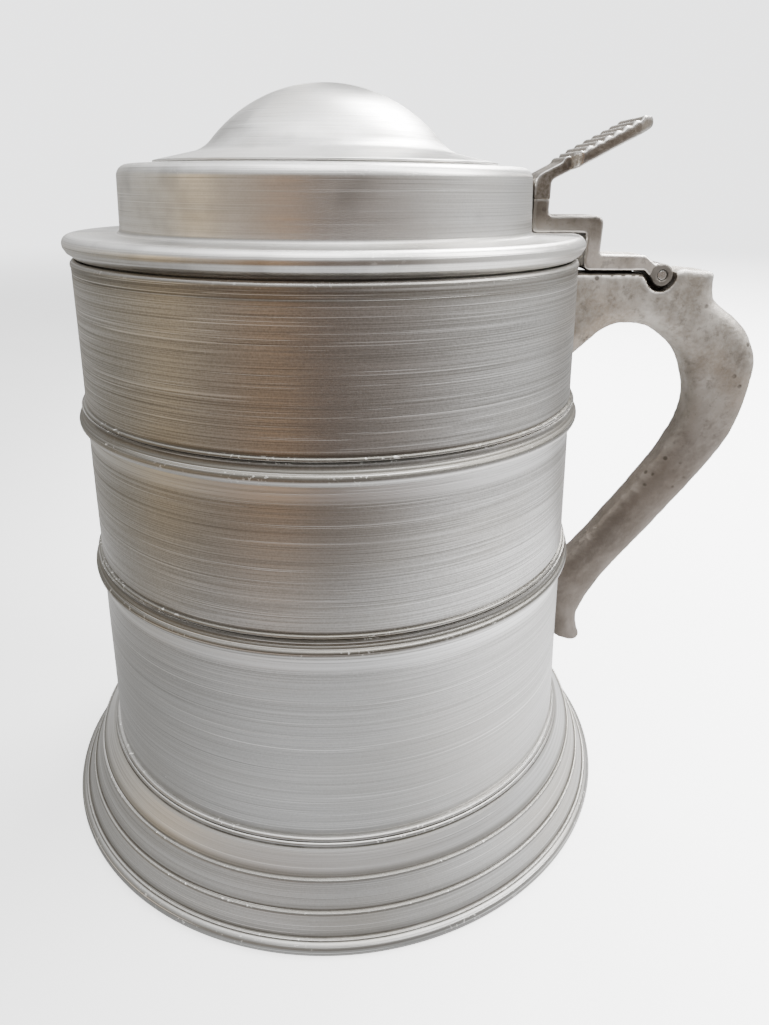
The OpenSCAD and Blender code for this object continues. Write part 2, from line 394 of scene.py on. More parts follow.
class Graph:
    """Short way to write the nodes of a material or world."""

    def __init__(self, owner):
        self.owner = owner
        owner.use_nodes = True
        self.tree = owner.node_tree
        self.tree.nodes.clear()

    def add(self, kind, ins=None, **settings):
        node = self.tree.nodes.new(kind)
        for key, value in settings.items():
            setattr(node, key, value)
        for key, value in (ins or {}).items():
            self.feed(node.inputs[key], value)
        return node

    def feed(self, socket, value):
        if isinstance(value, bpy.types.NodeSocket):
            self.tree.links.new(value, socket)
        elif socket.type == "RGBA":
            socket.default_value = (*value, 1.0)
        else:
            socket.default_value = value

    def num(self, operation, *values):
        node = self.add("ShaderNodeMath", operation=operation)
        for socket, value in zip(node.inputs, values):
            self.feed(socket, value)
        return node.outputs[0]

    def times(self, first, *others):
        for value in others:
            first = self.num("MULTIPLY", first, value)
        return first

    def total(self, *parts, start=0.0):
        """Sum of (share, value) parts."""
        for share, value in parts:
            start = self.num("MULTIPLY_ADD", value, share, start)
        return start

    def span(self, value, a, b, c=0.0, d=1.0):
        """Goes smoothly from c at a to d at b."""
        node = self.add("ShaderNodeMapRange", {"Value": value, "From Min": a, "From Max": b,
                                               "To Min": c, "To Max": d}, interpolation_type="SMOOTHSTEP")
        return node.outputs[0]

    def mix(self, factor, a, b, blend="MIX"):
        node = self.add("ShaderNodeMix", {0: factor, 6: a, 7: b}, data_type="RGBA", blend_type=blend)
        return node.outputs[2]

    def vec(self, x, y, z):
        return self.add("ShaderNodeCombineXYZ", {"X": x, "Y": y, "Z": z}).outputs[0]

    def place(self, kind="Object"):
        return self.add("ShaderNodeTexCoord").outputs[kind]

    def split(self, vector):
        return self.add("ShaderNodeSeparateXYZ", {0: vector}).outputs

    def length(self, x, y):
        return self.num("SQRT", self.num("ADD", self.num("MULTIPLY", x, x), self.num("MULTIPLY", y, y)))

    def noise(self, vector, scale=1.0, detail=2.0, rough=0.5, w=None):
        node = self.add("ShaderNodeTexNoise", noise_dimensions="3D" if w is None else "4D")
        inputs = {"Vector": vector, "W": w, "Scale": scale, "Detail": detail, "Roughness": rough}
        for key, value in inputs.items():
            if value is not None:
                self.feed(node.inputs[key], value)
        return node.outputs[0]

    def crest(self):
        return self.add("ShaderNodeAttribute", attribute_name="crest").outputs["Fac"]

    def metal(self, colour, roughness, height, bump, depth, **more):
        """Ends a material as metal with a bumped surface."""
        bumped = self.add("ShaderNodeBump", {"Strength": bump, "Distance": depth, "Height": height})
        shader = self.add("ShaderNodeBsdfPrincipled", {
            "Base Color": colour, "Metallic": 1.0, "Roughness": roughness,
            "Normal": bumped.outputs[0], **more})
        self.add("ShaderNodeOutputMaterial", {"Surface": shader.outputs[0]})
        return self.owner


def darker(colour, share):
    return tuple(share * v for v in colour)


SCRATCH = (0.88, 0.87, 0.85)
DENT_GLINT = (0.93, 0.925, 0.91)
NICK = (0.92, 0.91, 0.88)


def turned_metal(name, light, dark, warm, grime_and_shade, worn_and_shaded, roughness, anisotropy, lines, warmth,
                 grime_amount, wear_and_shade_amount, nicks, bump, zones=(), smudge=0.0):
    """Metal turned on a lathe: fine lines that run round the Z axis.
    A zone is (from, to, feather, tint, amount), by height in mm; the zones paint light and shade into the
    colour."""
    g = Graph(bpy.data.materials.new(name))
    place = g.place()
    x, y, z = g.split(place)
    axis_r = 0.0005                         # keeps the division below off zero
    r = g.num("MAXIMUM", g.length(x, y), axis_r)
    c, s = g.num("DIVIDE", x, r), g.num("DIVIDE", y, r)

    def rings(around, across, detail, rough, shift=0.0):
        """Noise drawn out round the axis: around is small, and across counts per metre."""
        v = g.vec(g.num("MULTIPLY", c, around), g.num("MULTIPLY", s, around),
                  g.num("MULTIPLY_ADD", z, across, shift))
        return g.noise(v, detail=detail, rough=rough, w=g.num("MULTIPLY", r, across))

    # turning lines
    fine = rings(0.9, 5000, 2, 0.6)
    long_lines = rings(0.35, 4100, 1, 0.5, 31.0)
    middle = rings(0.6, 2300, 2, 0.6, 11.0)
    broad = rings(1.4, 46, 3, 0.5, 5.0)
    grain = g.noise(place, 1700, 2, 0.6)
    tone = g.total((0.42, fine), (0.28, long_lines), (0.08, middle), (0.06, broad), (0.16, grain))
    reach = 0.17 / lines
    tone = g.span(tone, 0.5 - reach, 0.5 + reach)
    colour = g.mix(tone, dark, light)

    # warm patches, grime in the hollows, and on the crests wear rubbed bright on the body and lid, but a
    # darker painted shade that dims the highlights on the bands and foot
    cloud = g.noise(place, 16, 4, 0.55)
    patch = g.noise(place, 60, 4, 0.6)
    crest = g.crest()
    warm_patch = g.times(g.span(g.total((0.5, broad), (0.5, cloud)), 0.47, 0.62), warmth)
    colour = g.mix(warm_patch, colour, warm)
    dirt_and_shade = g.times(g.span(g.times(crest, -1.0), 0.03, 0.30), g.span(patch, 0.25, 0.55, 0.65, 1.0),
                   grime_amount)
    colour = g.mix(dirt_and_shade, colour, grime_and_shade)
    wear_and_shade = g.times(g.span(crest, 0.08, 0.32), g.span(patch, 0.3, 0.6, 0.5, 1.0), wear_and_shade_amount)
    colour = g.mix(wear_and_shade, colour, worn_and_shaded)
    # painted light and shade by height, one zone at a time
    for z0, z1, feather, tint, amount in zones:
        inside = g.times(g.span(z, (z0 - feather) * MM, z0 * MM),
                         g.span(z, z1 * MM, (z1 + feather) * MM, 1.0, 0.0),
                         g.span(middle, 0.3, 0.65, 0.5 * amount, amount))
        colour = g.mix(inside, colour, tint)
    if smudge:
        rub = g.span(g.noise(place, 34, 3, 0.55), 0.50, 0.66, 0.0, smudge)
        colour = g.mix(rub, colour, darker(dark, 0.62))

    # light and dark scratches, a few dents with a painted glint, and nicks along the crests
    scratch = g.span(rings(0.8, 3600, 1, 0.4, 77.0), 0.635, 0.69)
    colour = g.mix(g.times(scratch, 0.75), colour, SCRATCH)
    dark_scratch = g.span(rings(1.0, 3400, 1, 0.4, 133.0), 0.64, 0.71)
    colour = g.mix(g.times(dark_scratch, 0.34), colour, grime_and_shade)
    cells = g.add("ShaderNodeTexVoronoi", {"Vector": place, "Scale": 52.0, "Randomness": 1.0})
    few = g.span(g.add("ShaderNodeSeparateColor", {0: cells.outputs["Color"]}).outputs[0], 0.70, 0.72)
    dents = g.times(g.span(cells.outputs["Distance"], 0.010, 0.022, 1.0, 0.0), few)
    # the dents' pale colour is a painted glint; their hollow is in the bump
    colour = g.mix(g.times(dents, 0.8), colour, DENT_GLINT)
    exposed = g.times(g.span(crest, 0.02, 0.2, 0.04, 1.0), g.span(patch, 0.47, 0.6))
    spots = g.times(g.span(g.noise(place, 850, 2, 0.5), 0.60, 0.66), exposed, nicks)
    colour = g.mix(spots, colour, NICK)

    rough_now = g.total((-0.10, tone), (0.22, dirt_and_shade), (-0.05, wear_and_shade), (0.08, cloud), (0.25, spots),
                        start=roughness + 0.01)
    height = g.total((0.5, fine), (0.3, long_lines), (0.2, middle), (-0.4, scratch), (-1.5, dents),
                     (-2.0, spots))
    tangent = g.add("ShaderNodeTangent", direction_type="RADIAL", axis="Z")
    return g.metal(colour, rough_now, height, bump, 0.12 * MM,
                   **{"Anisotropic": anisotropy, "Tangent": tangent.outputs[0]})


def cast_metal(name, light, dark, brown, worn_and_shaded, grime_and_shade, roughness, shade=None, wear_and_shade_amount=0.75):
    """Rough casting with a mottled patina, dark pits and edges rubbed bright.
    shade is ((from, to) height in metres, tint, amount): a tint that grows down the
    piece, or up it where the amount is negative; on the strap it is painted shade, on the thumbpiece
    painted light."""
    g = Graph(bpy.data.materials.new(name))
    place = g.place()
    blotch = g.noise(place, 62, 5, 0.62)
    wide = g.noise(place, 24, 3, 0.5)
    grain = g.noise(place, 950, 3, 0.6)
    speckle = g.noise(place, 330, 4, 0.65)
    drawn_out = g.add("ShaderNodeMapping", {"Vector": place, "Rotation": (0.0, 0.6, 0.0),
                                            "Scale": (260.0, 260.0, 1500.0)})
    file_marks = g.noise(drawn_out.outputs[0], 1.0, 2, 0.5)
    mottle = g.span(blotch, 0.36, 0.64)
    colour = g.mix(mottle, dark, light)
    colour = g.mix(g.times(g.span(wide, 0.45, 0.62), 0.6), colour, brown)
    colour = g.mix(g.times(g.span(grain, 0.3, 0.7), 0.20), colour, worn_and_shaded)
    colour = g.mix(g.span(speckle, 0.54, 0.68, 0.0, 0.45), colour, darker(dark, 0.55))
    if shade:
        (z0, z1), tint, amount = shade
        ends = (1.0, 0.0) if amount > 0 else (0.0, 1.0)
        deep = g.times(g.span(g.split(place)[2], z0, z1, *ends), abs(amount))
        colour = g.mix(deep, colour, g.mix(mottle, darker(tint, 0.8), tint))
    crest = g.crest()
    # grime in the hollows, and painted shade where a limit set the crest below zero
    dirt_and_shade = g.span(g.times(crest, -1.0), 0.04, 0.32, 0.0, 0.85)
    colour = g.mix(dirt_and_shade, colour, grime_and_shade)
    wear_and_shade = g.times(g.span(crest, 0.06, 0.32), g.span(blotch, 0.3, 0.6, 0.5, 1.0))
    colour = g.mix(g.times(wear_and_shade, wear_and_shade_amount), colour, worn_and_shaded)
    cells = g.add("ShaderNodeTexVoronoi", {"Vector": place, "Scale": 210.0, "Randomness": 1.0})
    few = g.span(g.noise(place, 75, 3, 0.6), 0.54, 0.64)
    pits = g.times(g.span(cells.outputs["Distance"], 0.10, 0.24, 1.0, 0.0), few)
    colour = g.mix(g.times(pits, 0.75), colour, grime_and_shade)
    rough_now = g.total((0.16, blotch), (-0.12, wear_and_shade), (0.18, dirt_and_shade), start=roughness - 0.08)
    height = g.total((0.35, grain), (0.9, blotch), (0.18, file_marks), (-0.35, pits))
    return g.metal(colour, rough_now, height, 0.45, 0.5 * MM)


GRIME = (0.055, 0.048, 0.038)
CAST_GRIME_AND_SHADE = (0.035, 0.029, 0.023)

# tints by height: painted shade in the crease above the foot and under the lid's rim, and the lower wall
# toned towards a mid grey
BODY_ZONES = [(FOOT_H - 1, FOOT_H + 1.7, 1.3, (0.17, 0.16, 0.145), 0.85),
              (BODY_TOP - 3.9, BODY_TOP, 2.6, (0.13, 0.115, 0.09), 0.6),
              (FOOT_H + 4, LOWER_BAND - 14, 12.0, (0.50, 0.493, 0.478), 0.62)]
BAND_ZONES = []
for centre in BANDS.values():
    # on the wall beside each band: a painted reflection below it and painted shade in the crease above it
    BODY_ZONES += [(centre - 5.0, centre - 2.2, 3.0, (0.96, 0.955, 0.945), 0.85),
                   (centre + 5.0, centre + 6.2, 0.6, (0.12, 0.105, 0.085), 0.75)]
    # on the band: painted shade on the large bead's upper side and in the crease above the fine bead, and a
    # painted highlight on the large bead's lower side
    BAND_ZONES += [(centre + 0.7, centre + 2.6, 0.4, (0.15, 0.14, 0.12), 0.9),
                   (centre - 1.5, centre - 0.3, 0.4, (0.82, 0.81, 0.79), 0.7),
                   (centre + 5.3, centre + 6.2, 0.4, (0.20, 0.19, 0.165), 0.7)]
FOOT_LIPS = (22.1, 12.9, 5.8)               # heights of the steps' lips
# on the foot: painted light on the first step under the collar, painted shade over the rolled rim, and a
# painted shadow just above each step's lip
FOOT_ZONES = [(24.0, 28.0, 1.2, (0.82, 0.82, 0.82), 0.65), (-1.0, 4.6, 0.8, (0.24, 0.235, 0.22), 0.8)]
FOOT_ZONES += [(lip + 0.1, lip + 1.1, 1.3, (0.20, 0.19, 0.17), 0.6) for lip in reversed(FOOT_LIPS)]

BODY = turned_metal("turned_pewter", light=(0.665, 0.658, 0.645), dark=(0.335, 0.327, 0.310),
                    warm=(0.41, 0.37, 0.30), grime_and_shade=GRIME, worn_and_shaded=(0.78, 0.77, 0.74), roughness=0.35,
                    anisotropy=0.68, lines=1.55, warmth=0.25, grime_amount=0.5, wear_and_shade_amount=0.25,
                    nicks=0.25, bump=0.30, zones=BODY_ZONES)
# the bands' crest colour is darker than their metal: a painted shade that dims the beads' highlights
BAND = turned_metal("band_pewter", light=(0.56, 0.55, 0.53), dark=(0.24, 0.23, 0.212),
                    warm=(0.34, 0.29, 0.22), grime_and_shade=GRIME, worn_and_shaded=(0.22, 0.213, 0.20), roughness=0.44,
                    anisotropy=0.50, lines=1.2, warmth=0.5, grime_amount=0.62, wear_and_shade_amount=0.8,
                    nicks=0.6, bump=0.26, zones=BAND_ZONES)
# the foot's crest colour is darker than its metal: a painted shade that dims the lips' highlights
FOOT = turned_metal("foot_pewter", light=(0.63, 0.625, 0.61), dark=(0.38, 0.372, 0.352),
                    warm=(0.42, 0.38, 0.315), grime_and_shade=GRIME, worn_and_shaded=(0.34, 0.335, 0.32), roughness=0.42,
                    anisotropy=0.52, lines=0.95, warmth=0.4, grime_amount=0.9, wear_and_shade_amount=0.8,
                    nicks=1.0, bump=0.26, zones=FOOT_ZONES)
LID = turned_metal("lid_pewter", light=(0.83, 0.825, 0.812), dark=(0.62, 0.61, 0.592),
                   warm=(0.66, 0.59, 0.48), grime_and_shade=(0.14, 0.13, 0.11), worn_and_shaded=(0.90, 0.89, 0.87),
                   roughness=0.33, anisotropy=0.60, lines=1.35, warmth=0.2, grime_amount=0.6,
                   wear_and_shade_amount=0.35, nicks=0.5, bump=0.22, smudge=0.58)
CAST = cast_metal("cast_pewter", light=(0.555, 0.518, 0.468), dark=(0.290, 0.256, 0.215),
                  brown=(0.34, 0.263, 0.188), worn_and_shaded=(0.64, 0.63, 0.61), grime_and_shade=(0.06, 0.050, 0.040),
                  roughness=0.58, shade=((0.115, 0.188), (0.168, 0.143, 0.123), 0.9), wear_and_shade_amount=0.45)
# the strap's shade is a painted shade that darkens it up its riser
STRAP = cast_metal("strap_pewter", light=(0.76, 0.71, 0.65), dark=(0.46, 0.415, 0.36),
                   brown=(0.54, 0.45, 0.35), worn_and_shaded=(0.70, 0.68, 0.65), grime_and_shade=CAST_GRIME_AND_SHADE,
                   roughness=0.43, shade=((0.1985, 0.213), (0.150, 0.129, 0.105), -0.9), wear_and_shade_amount=0.3)
# the thumbpiece: a much darker copy of the cast pewter as painted shade on its riser, with painted light
# that grows up onto its top
THUMB_LIT_AND_SHADED = cast_metal("thumb_pewter", light=(0.19, 0.165, 0.135), dark=(0.11, 0.094, 0.076),
                   brown=(0.16, 0.127, 0.095), worn_and_shaded=(0.80, 0.78, 0.75), grime_and_shade=CAST_GRIME_AND_SHADE,
                   roughness=0.40, shade=((0.223, 0.233), (0.31, 0.27, 0.225), -0.8))
PIN = cast_metal("pin_metal", light=(0.60, 0.57, 0.53), dark=(0.42, 0.38, 0.33),
                 brown=(0.40, 0.31, 0.22), worn_and_shaded=(0.80, 0.79, 0.76), grime_and_shade=(0.05, 0.043, 0.034),
                 roughness=0.36)


def dress(obj, material):
    obj.data.materials.clear()
    obj.data.materials.append(material)


def finish_piece(obj, material, slot, body, *nodes):
    dress(obj, material)
    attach(obj, body)
    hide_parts(*nodes)
    return obj


# ---------------------------------------------------------------- vessel

def body_outline():
    bead_r = 1.5
    bead_z = BODY_TOP - bead_r
    scribe_z = bead_z - 2.6                 # a fine line turned under the rim
    scribe = [(wall_r(scribe_z + dz) - depth, scribe_z + dz)
              for dz, depth in ((-0.35, 0), (-0.12, 0.07), (0, 0.1), (0.12, 0.07), (0.35, 0))]
    return ([(wall_r(BODY_LOW) - WALL_T, BODY_LOW), (wall_r(BODY_LOW), BODY_LOW)]
            + scribe + [(wall_r(bead_z - 1), bead_z - 1)]
            + arc(WALL_TOP_R - 1.2, bead_z, bead_r, -20, 180, 16) + [(WALL_TOP_R - WALL_T, bead_z - 1)])


def band_outline(z):
    """Large bead, hollow and fine bead, from the bottom up."""
    seat = 0.35                             # how far the band sits in the wall
    rise = z + 5.7
    return ([(wall_r(z - BAND_BEAD_R) - seat, z - BAND_BEAD_R)]
            + arc(wall_r(z) + 0.5, z, BAND_BEAD_R, -92, 60, 18)
            + arc(wall_r(z + 3.5) + 2.4, z + 3.4, 1.6, 225, 135, 10)
            + arc(wall_r(z + 5.1) + 0.35, z + 5.1, 0.6, -60, 95, 8)
            + [(wall_r(rise) - seat, rise)])


def foot_step(r0, z0, r1, z1):
    """Flat face, a narrow hollow flare and the fine lip at its edge."""
    flare, lip = 0.85, 0.26
    return ([(r0, z0)] + arc(r1 - 0.12, z1 + flare, flare, 205, 264, 7)
            + arc(r1, z1 - lip, lip, 92, -70, 6))


def foot_outline():
    bead, roll = 0.8, 2.6
    upper, middle, lower = FOOT_LIPS
    return ([(wall_r(FOOT_H) - 0.3, FOOT_H)]
            + arc(wall_r(FOOT_H) + 0.75, FOOT_H - bead, bead, 90, -35, 8)
            + arc(wall_r(FOOT_H) + 1.5, FOOT_H - 2.1, bead, 80, -40, 9)
            + foot_step(BASE_R - 15.4, 28.4, BASE_R - 10.4, upper)
            + foot_step(BASE_R - 10.1, 21.3, BASE_R - 6.1, middle)
            + foot_step(BASE_R - 5.8, 12.1, BASE_R - 2.4, lower)
            + arc(BASE_R - roll, roll, roll, 70, -62, 16)
            + [(BASE_R - 1.6, 0), (BASE_R - 4.6, 0), (BASE_R - 5, 3.6), (BASE_R - 8.8, 10.6),
               (BASE_R - 13.5, DISC_LOW), (DISC_R, DISC_LOW), (DISC_R, BODY_LOW)])


finish_piece(lathe("body", body_outline(), step=3.0, uneven=0.16, seed=1.0), BODY, "turned_pewter",
             "vessel", "body_wall")
for label, centre in BANDS.items():
    finish_piece(lathe(label + "_ring", band_outline(centre), uneven=0.10, seed=1.0), BAND, "band_pewter",
                 "vessel", label)
finish_piece(lathe("foot", foot_outline(), uneven=0.12, seed=4.0), FOOT, "foot_pewter", "vessel",
             "foot_ring")
dress(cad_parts["bottom_disc"], BODY)


# ---------------------------------------------------------------- lid

def flange_outline():
    edge, web = 2.6, 2.4
    lip_r = BEZEL_R - 1.8
    return ([(lip_r, FLANGE_Z)] + arc(FLANGE_R - 3.1, FLANGE_Z + 0.4, 0.4, -90, -20, 5)
            + [(FLANGE_R - 0.9, FLANGE_Z + 1.6)]
            + arc(FLANGE_R - edge, FLANGE_TOP - edge, edge, -20, 88, 18)
            + [(FLANGE_R - 5.0, FLANGE_TOP), (DRUM_R - 2.2, FLANGE_TOP),
               (DRUM_R - 2.2, FLANGE_TOP - web), (lip_r, FLANGE_TOP - web)])


def drum_outline():
    fillet, shoulder, lean, wall, opening_r = 1.5, 3.6, 0.9, 2.2, 39.0
    top_r = DRUM_R - lean - shoulder
    return (arc(DRUM_R + fillet, FLANGE_TOP + fillet, fillet, 270, 180, 10)
            + arc(top_r, DRUM_TOP - shoulder, shoulder, 0, 90, 16)
            + [(opening_r, DRUM_TOP), (opening_r, DRUM_TOP - wall)]
            + arc(top_r, DRUM_TOP - shoulder, shoulder - wall, 90, 0, 6)
            + [(DRUM_R - wall, FLANGE_TOP)])


def dome_outline():
    brim, crown_r, sweep, skin = 53.6, 48.2, 11.5, 2.0
    crown_z = DOME_TOP - crown_r
    sweep_z = DRUM_TOP + 3.4 + sweep
    sweep_x = math.sqrt((crown_r + sweep) ** 2 - (sweep_z - crown_z) ** 2)
    meet = math.degrees(math.atan2(sweep_z - crown_z, sweep_x))
    inner = crown_r - skin
    inner_low = math.degrees(math.asin((DRUM_TOP - crown_z) / inner))
    return ([(brim - 1, DRUM_TOP), (brim - 0.6, DRUM_TOP + 0.5)]
            + arc(brim - 0.35, DRUM_TOP + 0.85, 0.35, -90, 80, 6)
            + arc(sweep_x, sweep_z, sweep, 257, 180 + meet, 18)
            + arc(0, crown_z, crown_r, meet, 90, 40)
            + arc(0, crown_z, inner, 90, inner_low, 24))


LID_PIECES = {"lid_flange": ("lid_rim", flange_outline()), "lid_drum": ("lid_step", drum_outline()),
              "lid_dome": ("lid_crown", dome_outline())}
for node, (name, outline) in LID_PIECES.items():
    finish_piece(lathe(name, outline, step=2.5, uneven=0.06, seed=7.0), LID, "lid_pewter", "lid", node)
dress(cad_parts["lid_bezel"], BODY)

# ---------------------------------------------------------------- hinge and thumbpiece

STRAP_T = 5.3
LOW_Z = PIN_Z + 1.4                         # underside of the strap beside the knuckles
STEP_X = FLANGE_R + 1.9
SEAM = 0.45                                 # the fine groove between strap and thumbpiece


def make_strap():
    """Stepped strap with two outer knuckles, open between them for the lug."""
    top = LOW_Z + STRAP_T
    outline = rounded([
        (STRAP_X, SEAM_Z + SEAM, 0), (STRAP_X, FLANGE_TOP, 2.0), (STEP_X, FLANGE_TOP, 1.2),
        (STEP_X, LOW_Z, 2.5), (PIN_X - 6.4, LOW_Z, 1.5), (PIN_X - 3.1, PIN_Z - 1.7, 0),
        (PIN_X, PIN_Z, 0), (PIN_X, PIN_Z + KNUCKLE_R, 0),
        (PIN_X - 3, PIN_Z + KNUCKLE_R, 1), (PIN_X - 6.5, top - 0.4, 1), (STEP_X + STRAP_T, top, 1),
        (STEP_X + STRAP_T, FLANGE_TOP + STRAP_T, 2.5), (STRAP_X + STRAP_T, FLANGE_TOP + STRAP_T, 1.5),
        (STRAP_X + STRAP_T, SEAM_Z + SEAM, 0)])
    half = STRAP_W / 2
    strap = plate("strap", outline, lambda z: half)
    round_edges(strap, 0.7)
    knuckle = rod("knuckle", PIN_X, PIN_Z, KNUCKLE_R, -half, half)
    round_edges(knuckle, 0.5)
    join(strap, knuckle)
    remesh(strap, 0.35)
    gap = LUG_W / 2 + 0.35
    slot = block("slot", (PIN_X - KNUCKLE_R - 1.2, -gap, PIN_Z - 10), (PIN_X + 16, gap, PIN_Z + 10))
    boolean(strap, slot)
    boolean(strap, rod("bore", PIN_X, PIN_Z, PIN_R + 0.05, -20, 20))
    for side in (-1, 1):
        a, b = sorted((side * (half - 0.7), side * (half + 2)))
        boolean(strap, rod("ring", PIN_X, PIN_Z, PIN_R + 0.25, a, b))
    cast(strap, 0.3, 2, rough=0.07, scale=5, seed=3)

    def limit(x, z, up):
        # painted shade on the strap's underside and round the knuckle
        under = (up < -0.5) & (z < FLANGE_TOP) & (x < PIN_X)
        near_pin = np.hypot(x - PIN_X, z - PIN_Z) < KNUCKLE_R + 0.6
        return np.where(under, -0.32, np.where(near_pin, -0.25, AS_IT_IS))

    return limit_grime_and_shade(strap, limit)


def make_thumb():
    """Sloping plate with ridges across it, narrower where it meets the strap."""
    slope = math.radians(27)
    along = Vector((math.cos(slope), math.sin(slope)))
    up = Vector((-math.sin(slope), math.cos(slope)))
    thick, length, ridge_r, ridge_out, count = 3.4, 34.5, 1.55, 0.85, 9
    first, plain = 5, 6.5                   # where the ridges start, and the length without ridges
    bend = Vector((STRAP_X + STRAP_T, SEAM_Z + 5.6))
    tip = bend + length * along
    tip_top = tip + thick * up
    back = bend + thick * up - along * ((bend.x - STRAP_X + thick * up.x) / math.cos(slope))
    outline = rounded([(STRAP_X, SEAM_Z, 0), (bend.x, SEAM_Z, 0), (bend.x, bend.y, 1.5),
                       (tip.x, tip.y, 1.2), (tip_top.x, tip_top.y, 1.4), (back.x, back.y, 4)])
    half = THUMB_W / 2
    thumb = plate("thumb", outline, lambda z: half)
    pitch = (length - plain) / count
    ridges = []
    for i in range(count):
        c = bend + along * (first + pitch * (i + 0.5)) + up * (thick + ridge_out - ridge_r)
        ridge = rod("ridge", c.x, c.y, ridge_r, 0.3 - half, half - 0.3, 40)
        ridges.append(round_edges(ridge, 0.5, 4))
    join(thumb, *ridges)
    remesh(thumb, 0.35)
    boolean(thumb, thumb_plan(bend.x, tip.x + 0.6, half), "INTERSECT")
    cast(thumb, 0.3, 3, rough=0.08, scale=4, seed=9)
    return limit_grime_and_shade(thumb, lambda x, z, up: np.where(z < SEAM_Z + 1.4, 0.03, AS_IT_IS))


def thumb_plan(bend_x, end_x, half):
    """The thumbpiece's outline from above, as a tall solid that cuts the plate to shape."""
    height = 60
    neck = STRAP_W / 2
    side = [(STRAP_X - 1, neck, 0), (bend_x + 5.5, neck, 1), (bend_x + 7.5, half, 2), (end_x, half, 8)]
    plan = rounded([(x, -y, r) for x, y, r in side] + side[::-1])
    bm = bmesh.new()
    face = bm.faces.new([bm.verts.new((x * MM, y * MM, (SEAM_Z - 1) * MM)) for x, y in plan])
    lifted = bmesh.ops.extrude_face_region(bm, geom=[face])
    top = [v for v in lifted["geom"] if isinstance(v, bmesh.types.BMVert)]
    bmesh.ops.translate(bm, vec=(0, 0, height * MM), verts=top)
    bmesh.ops.recalc_face_normals(bm, faces=bm.faces)
    return new_object("plan", bm)


finish_piece(make_strap(), STRAP, "cast_pewter", "lid", "hinge_strap")
finish_piece(make_thumb(), THUMB_LIT_AND_SHADED, "cast_pewter", "lid", "thumbpiece")


def make_pin():
    """Peened pin along Y: turned round its own axis, with slightly domed ends."""
    half, soft = PIN_HALF, 0.35
    outline = ([(0, -half)] + arc(PIN_R - soft, -half + soft, soft, -90, 0, 5)
               + arc(PIN_R - soft, half - soft, soft, 0, 90, 5) + [(0, half)])
    pin = lathe("pin", outline, segments=64)
    place = Matrix.Translation((PIN_X * MM, 0, PIN_Z * MM))
    pin.data.transform(place @ Matrix.Rotation(math.pi / 2, 4, "X"))
    return pin


finish_piece(make_pin(), PIN, "pin_metal", "lid", "hinge_pin")


# ---------------------------------------------------------------- handle

def distance_to(points, line):
    """Distance in mm of each (x, z) point from an open line."""
    best = np.full(len(points), 1e9)
    for a, b in zip(line, line[1:]):
        a, b = np.array(a, float), np.array(b, float)
        ab = b - a
        t = np.clip(((points - a) @ ab) / max(ab @ ab, 1e-9), 0, 1)
        best = np.minimum(best, np.linalg.norm(points - a - t[:, None] * ab, axis=1))
    return best


def round_section(obj, edges):
    """Narrows a plate towards its outline, so that its section is rounded.
    edges are (line, (reach, width left at the line) low down, the same high up)."""
    blend_z, blend_h = 125, 40              # where low down passes into high up
    mesh = obj.data
    co = vectors(mesh, "co")
    xz = co[:, [0, 2]].astype(float) / MM
    factor = np.ones(len(co))
    lift = np.clip((xz[:, 1] - blend_z) / blend_h, 0, 1)
    for line, below, above in edges:
        reach, left = [a + (b - a) * lift for a, b in zip(below, above)]
        t = np.clip(distance_to(xz, line) / reach, 0, 1)
        factor = np.minimum(factor, left + (1 - left) * np.sqrt(np.maximum(1 - (1 - t) ** 2, 0)))
    co[:, 1] *= factor
    mesh.vertices.foreach_set("co", co.ravel())
    mesh.update()


